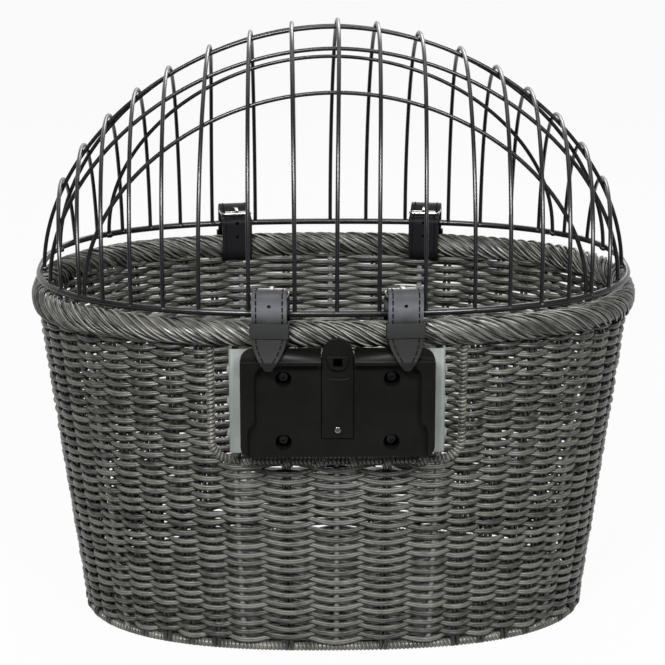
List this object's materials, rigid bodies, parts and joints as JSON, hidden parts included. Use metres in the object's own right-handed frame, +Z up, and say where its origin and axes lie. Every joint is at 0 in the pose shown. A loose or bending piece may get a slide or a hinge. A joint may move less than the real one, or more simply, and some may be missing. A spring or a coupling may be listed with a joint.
{
  "type": "bicycle basket",
  "caption": "Oval woven handlebar basket for a small pet, with a hinged dome lid of welded wire, buckled belt straps and a plate that slides onto a quick-release adapter.",
  "frame": {"origin": "on the ground under the middle of the tub", "axes": "+X to the right as the rider sees it, along the long way of the oval; +Y away from the rider, towards the lid's hinge; +Z up"},
  "size_m": [0.48, 0.3551, 0.4654],
  "materials": {
    "cane": "grey plastic cane with fine lengthwise ribs",
    "pale_steel": "pale grey-green coating",
    "black_wire": "glossy black coating",
    "black_plastic": "moulded, finely grained",
    "strap": "black imitation leather, stitched",
    "nickel": "nickel plated",
    "zinc": "zinc plated"
  },
  "bodies": {
    "basket": {"wicker_wall": "cane", "wicker_base": "cane", "rim_border": "cane", "foot_ring": "cane", "window_border": "cane", "frame_post_left": "pale_steel", "frame_post_right": "pale_steel", "steel_bracket": "pale_steel", "adapter_plate": "black_plastic", "adapter_screw_upper_left": "zinc", "adapter_screw_upper_right": "zinc", "adapter_screw_lower_left": "zinc", "adapter_screw_lower_right": "zinc", "tongue_screw": "zinc", "far_left_strap": "strap", "far_left_keeper": "strap", "far_left_buckle_frame": "nickel", "far_right_strap": "strap", "far_right_keeper": "strap", "far_right_buckle_frame": "nickel"},
    "lid": {"lid_ring": "black_wire", "lid_hoop_01": "black_wire", "lid_hoop_02": "black_wire", "lid_hoop_03": "black_wire", "lid_hoop_04": "black_wire", "lid_hoop_05": "black_wire", "lid_hoop_06": "black_wire", "lid_hoop_07": "black_wire", "lid_hoop_08": "black_wire", "lid_hoop_09": "black_wire", "lid_hoop_10": "black_wire", "lid_hoop_11": "black_wire", "lid_hoop_12": "black_wire", "lid_hoop_13": "black_wire", "lid_hoop_14": "black_wire", "lid_hoop_15": "black_wire", "lid_hoop_16": "black_wire", "lid_hoop_17": "black_wire", "lid_arch_1": "black_wire", "lid_arch_2": "black_wire", "lid_arch_3": "black_wire", "lid_arch_4": "black_wire", "lid_arch_5": "black_wire", "near_left_strap": "strap", "near_left_keeper": "strap", "near_left_buckle_frame": "nickel", "near_right_strap": "strap", "near_right_keeper": "strap", "near_right_buckle_frame": "nickel"},
    "tongue": {"release_tongue": "black_plastic"},
    "near_left_roller": {"near_left_buckle_roller": "nickel"},
    "near_left_prong": {"near_left_buckle_prong": "nickel"},
    "near_right_roller": {"near_right_buckle_roller": "nickel"},
    "near_right_prong": {"near_right_buckle_prong": "nickel"},
    "far_left_roller": {"far_left_buckle_roller": "nickel"},
    "far_left_prong": {"far_left_buckle_prong": "nickel"},
    "far_right_roller": {"far_right_buckle_roller": "nickel"},
    "far_right_prong": {"far_right_buckle_prong": "nickel"}
  },
  "joints": [
    {"name": "lid_hinge", "type": "hinge", "parent": "basket", "child": "lid", "pos_m": [0, 0.1484, 0.2765], "axis": [-1, 0, 0], "range_deg": [0, 110], "deforming": ["near_left_strap", "near_right_strap"]},
    {"name": "tongue_press", "type": "hinge", "parent": "basket", "child": "tongue", "pos_m": [0, -0.1718, 0.194], "axis": [-1, 0, 0], "range_deg": [0, 3], "stiffness_Nm_per_rad": 4},
    {"name": "near_left_roller_turn", "type": "hinge", "parent": "lid", "child": "near_left_roller", "pos_m": [-0.04699, -0.14751, 0.285], "axis": [-0.9971, 0.0767, 0], "continuous": true},
    {"name": "near_left_prong_lift", "type": "hinge", "parent": "lid", "child": "near_left_prong", "pos_m": [-0.04845, -0.16655, 0.285], "axis": [0.9971, -0.0767, 0], "range_deg": [0, 6]},
    {"name": "near_right_roller_turn", "type": "hinge", "parent": "lid", "child": "near_right_roller", "pos_m": [0.04699, -0.14751, 0.285], "axis": [-0.9971, -0.0767, 0], "continuous": true},
    {"name": "near_right_prong_lift", "type": "hinge", "parent": "lid", "child": "near_right_prong", "pos_m": [0.04845, -0.16655, 0.285], "axis": [0.9971, 0.0767, 0], "range_deg": [0, 6]},
    {"name": "far_left_roller_turn", "type": "hinge", "parent": "basket", "child": "far_left_roller", "pos_m": [-0.08002, 0.14353, 0.285], "axis": [0.986, 0.1668, 0], "continuous": true},
    {"name": "far_left_prong_lift", "type": "hinge", "parent": "basket", "child": "far_left_prong", "pos_m": [-0.08321, 0.16236, 0.285], "axis": [-0.986, -0.1668, 0], "range_deg": [0, 6]},
    {"name": "far_right_roller_turn", "type": "hinge", "parent": "basket", "child": "far_right_roller", "pos_m": [0.08002, 0.14353, 0.285], "axis": [0.986, -0.1668, 0], "continuous": true},
    {"name": "far_right_prong_lift", "type": "hinge", "parent": "basket", "child": "far_right_prong", "pos_m": [0.08321, 0.16236, 0.285], "axis": [-0.986, 0.1668, 0], "range_deg": [0, 6]}
  ]
}
